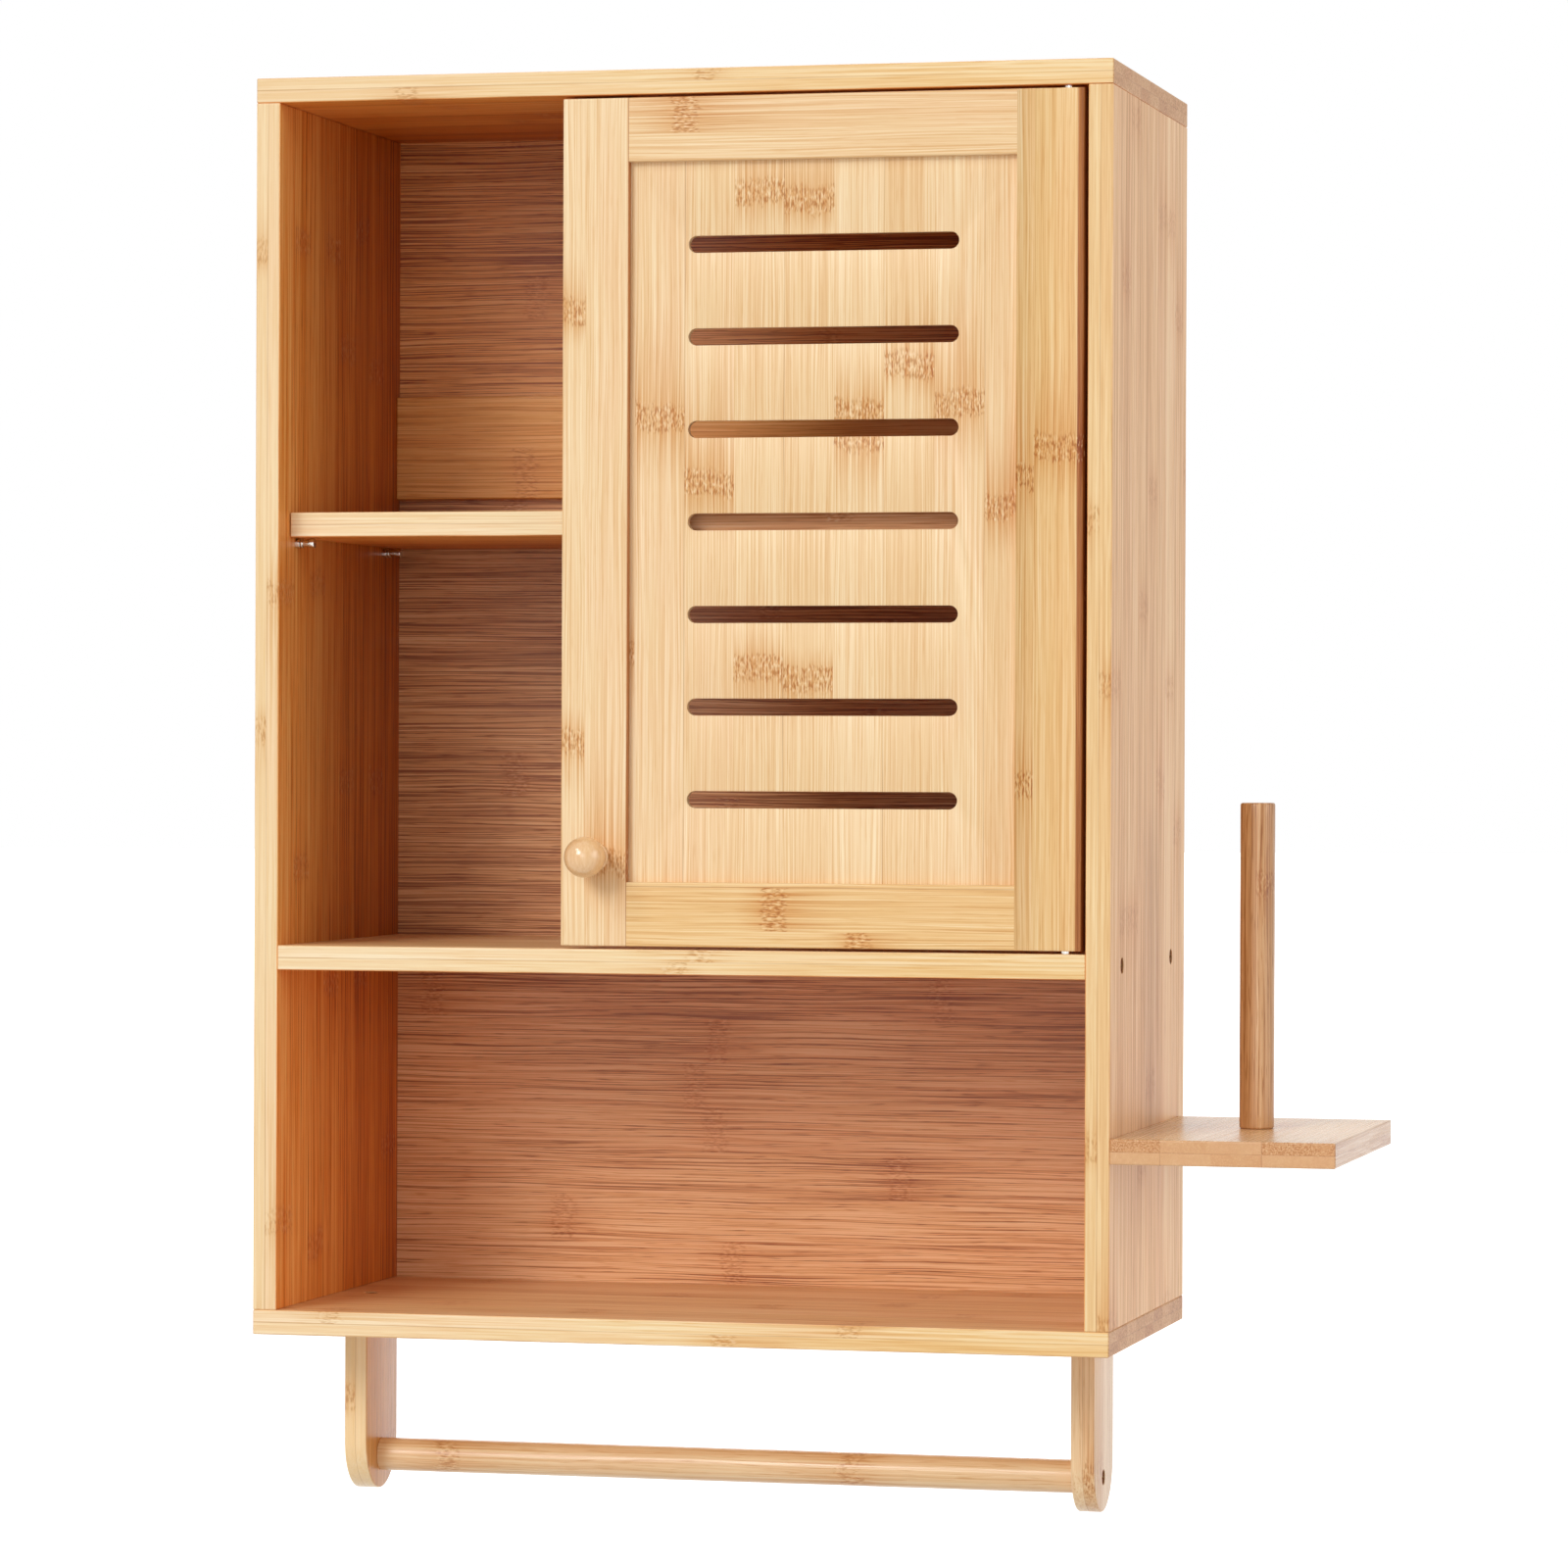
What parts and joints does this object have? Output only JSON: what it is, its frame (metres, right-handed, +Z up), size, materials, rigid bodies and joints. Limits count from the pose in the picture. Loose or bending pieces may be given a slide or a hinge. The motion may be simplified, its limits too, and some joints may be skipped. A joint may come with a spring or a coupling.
{
  "type": "bamboo wall cabinet with slotted door, towel bar and paper-roll holder",
  "caption": "Wall-hung bamboo bathroom cabinet with open bays, an inset slotted door, a loose shelf, a towel bar below and an upright paper-roll holder at the side.",
  "frame": {"origin": "on the wall plane, midway between the two wall screw holes of the hanging rail", "axes": "+X towards the paper-roll holder, -Y towards the front, +Y into the wall, +Z up"},
  "size_m": [0.551, 0.2367, 0.724],
  "materials": {
    "bamboo_boards": "satin lacquer",
    "bamboo_sides": "satin lacquer",
    "bamboo_back": "satin lacquer",
    "bamboo_door": "satin lacquer",
    "bamboo_fittings": "satin lacquer",
    "turned_bamboo": "satin lacquer",
    "nickel_steel": "nickel plated",
    "zinc_steel": "zinc plated",
    "nylon": "moulded",
    "catch_plastic": "moulded",
    "ferrite": "sintered"
  },
  "bodies": {
    "cabinet": {"top_panel": "bamboo_boards", "bottom_panel": "bamboo_boards", "left_side": "bamboo_sides", "right_side": "bamboo_sides", "fixed_shelf": "bamboo_boards", "shelf_studs": "nickel_steel", "hanging_rail": "bamboo_back", "rail_dowels": "turned_bamboo", "upper_back_panel": "bamboo_back", "lower_back_panel": "bamboo_back", "top_panel_screws": "zinc_steel", "bottom_panel_screws": "zinc_steel", "fixed_shelf_screws": "zinc_steel", "upper_pivot_pin": "nickel_steel", "lower_pivot_pin": "nickel_steel", "catch_housing": "catch_plastic", "catch_magnet": "ferrite", "catch_pole_plates": "zinc_steel", "catch_screws": "zinc_steel", "left_towel_bracket": "bamboo_fittings", "right_towel_bracket": "bamboo_fittings", "towel_rod": "turned_bamboo", "towel_bracket_screws": "zinc_steel", "towel_rod_screws": "zinc_steel", "holder_board": "bamboo_fittings", "holder_dowel": "turned_bamboo", "holder_board_screws": "zinc_steel", "holder_dowel_screw": "zinc_steel"},
    "door": {"door_left_stile": "bamboo_door", "door_right_stile": "bamboo_door", "door_top_rail": "bamboo_door", "door_bottom_rail": "bamboo_door", "door_slotted_panel": "bamboo_door", "door_knob": "turned_bamboo", "knob_screw": "zinc_steel", "upper_pivot_bush": "nylon", "lower_pivot_bush": "nylon", "strike_plate": "zinc_steel", "strike_plate_screw": "zinc_steel"},
    "loose_shelf": {"loose_shelf": "bamboo_boards"}
  },
  "joints": [
    {"name": "door_hinge", "type": "hinge", "parent": "cabinet", "child": "door", "pos_m": [0.1967, -0.20375, -0.04825], "axis": [0, 0, 1], "range_deg": [0, 115]},
    {"name": "loose_shelf_lift", "type": "slide", "parent": "cabinet", "child": "loose_shelf", "axis": [0, 0, 1], "range_m": [0, 0.012]}
  ]
}
